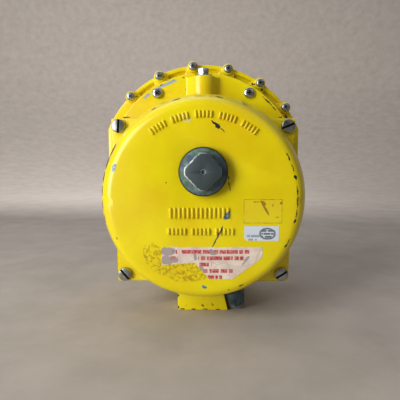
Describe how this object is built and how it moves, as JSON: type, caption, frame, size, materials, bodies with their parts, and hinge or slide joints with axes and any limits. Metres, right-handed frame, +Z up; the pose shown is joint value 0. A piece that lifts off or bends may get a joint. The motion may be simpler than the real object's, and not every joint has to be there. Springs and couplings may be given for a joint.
{
  "type": "quarter-turn vane actuator with limit switch unit",
  "caption": "Pneumatic quarter-turn vane actuator: fan-shaped bolted casing, round-lidded limit switch unit on the front, square drive ends.",
  "frame": {"origin": "on the shaft axis, at the rear mounting face", "axes": "+Y along the shaft towards the driven valve, away from the lid; +Z up; +X to the right of a viewer who faces the lid"},
  "size_m": [0.1994, 0.168, 0.2407],
  "materials": {
    "yellow_enamel": "glossy yellow enamel on cast aluminium",
    "zinc_plate": "bright zinc plated",
    "spindle_steel": "dark oxidised",
    "machined_steel": "machined",
    "black_oxide_steel": "black oxide",
    "bare_zinc_casting": "as cast",
    "nitrile_rubber": "matt",
    "bronze": "sintered",
    "red_nylon": "moulded",
    "green_nylon": "moulded",
    "black_phenolic": "moulded",
    "ivory_nylon": "moulded",
    "screw_brass": "plated",
    "notice_paper": "worn label",
    "white_vinyl": "label"
  },
  "bodies": {
    "housing": {"casing_front": "yellow_enamel", "casing_rear": "yellow_enamel", "casing_seal": "nitrile_rubber", "casing_screws": "zinc_plate", "blanking_screws": "zinc_plate", "top_plug": "zinc_plate", "top_plug_washer": "zinc_plate", "hub_seal": "nitrile_rubber", "shaft_bush_front": "bronze", "shaft_bush_rear": "bronze", "shaft_seal_front": "nitrile_rubber", "shaft_seal_rear": "nitrile_rubber", "stop_screws": "black_oxide_steel", "stop_locknuts": "zinc_plate", "switch_base": "yellow_enamel", "base_screws": "zinc_plate", "cover_gasket": "nitrile_rubber", "switch_cover": "yellow_enamel", "cover_screws": "zinc_plate", "spindle_seal": "nitrile_rubber", "switch_bracket": "machined_steel", "bracket_screws": "zinc_plate", "switch_open": "black_phenolic", "switch_closed": "black_phenolic", "switch_screws": "zinc_plate", "terminal_block": "ivory_nylon", "terminal_screws": "screw_brass", "earth_lug": "bare_zinc_casting", "earth_bolt": "black_oxide_steel", "notice_label": "notice_paper", "rating_label": "white_vinyl"},
    "shaft": {"drive_shaft": "machined_steel", "vane": "bare_zinc_casting", "vane_seal": "nitrile_rubber", "vane_side_plates": "machined_steel", "vane_screws": "machined_steel", "vane_pin": "machined_steel", "switch_spindle": "spindle_steel", "cam_open": "red_nylon", "cam_closed": "green_nylon", "cam_screws": "black_oxide_steel"},
    "lever_a": {"lever_open": "machined_steel"},
    "lever_b": {"lever_closed": "machined_steel"},
    "button_a": {"button_open": "red_nylon"},
    "button_b": {"button_closed": "red_nylon"}
  },
  "joints": [
    {"name": "shaft_turn", "type": "hinge", "parent": "housing", "child": "shaft", "pos_m": [0, 0, 0], "axis": [0, 1, 0], "range_deg": [-45, 45]},
    {"name": "lever_open_swing", "type": "hinge", "parent": "housing", "child": "lever_a", "pos_m": [-0.02, -0.0995, -0.0342], "axis": [0, 1, 0], "range_deg": [-4.5, 4.5]},
    {"name": "lever_closed_swing", "type": "hinge", "parent": "housing", "child": "lever_b", "pos_m": [-0.02, -0.1125, -0.0342], "axis": [0, 1, 0], "range_deg": [-4.5, 4.5]},
    {"name": "button_open_push", "type": "slide", "parent": "housing", "child": "button_a", "axis": [0, 0, -1], "range_m": [-0.00064, 0.00064]},
    {"name": "button_closed_push", "type": "slide", "parent": "housing", "child": "button_b", "axis": [0, 0, -1], "range_m": [-0.00064, 0.00064]}
  ],
  "couplings": [
    {"joint": "lever_open_swing", "follows": "shaft_turn", "ratio": 0.1},
    {"joint": "lever_closed_swing", "follows": "shaft_turn", "ratio": -0.1},
    {"joint": "button_open_push", "follows": "shaft_turn", "m_per_rad": 0.0008},
    {"joint": "button_closed_push", "follows": "shaft_turn", "m_per_rad": -0.0008}
  ]
}
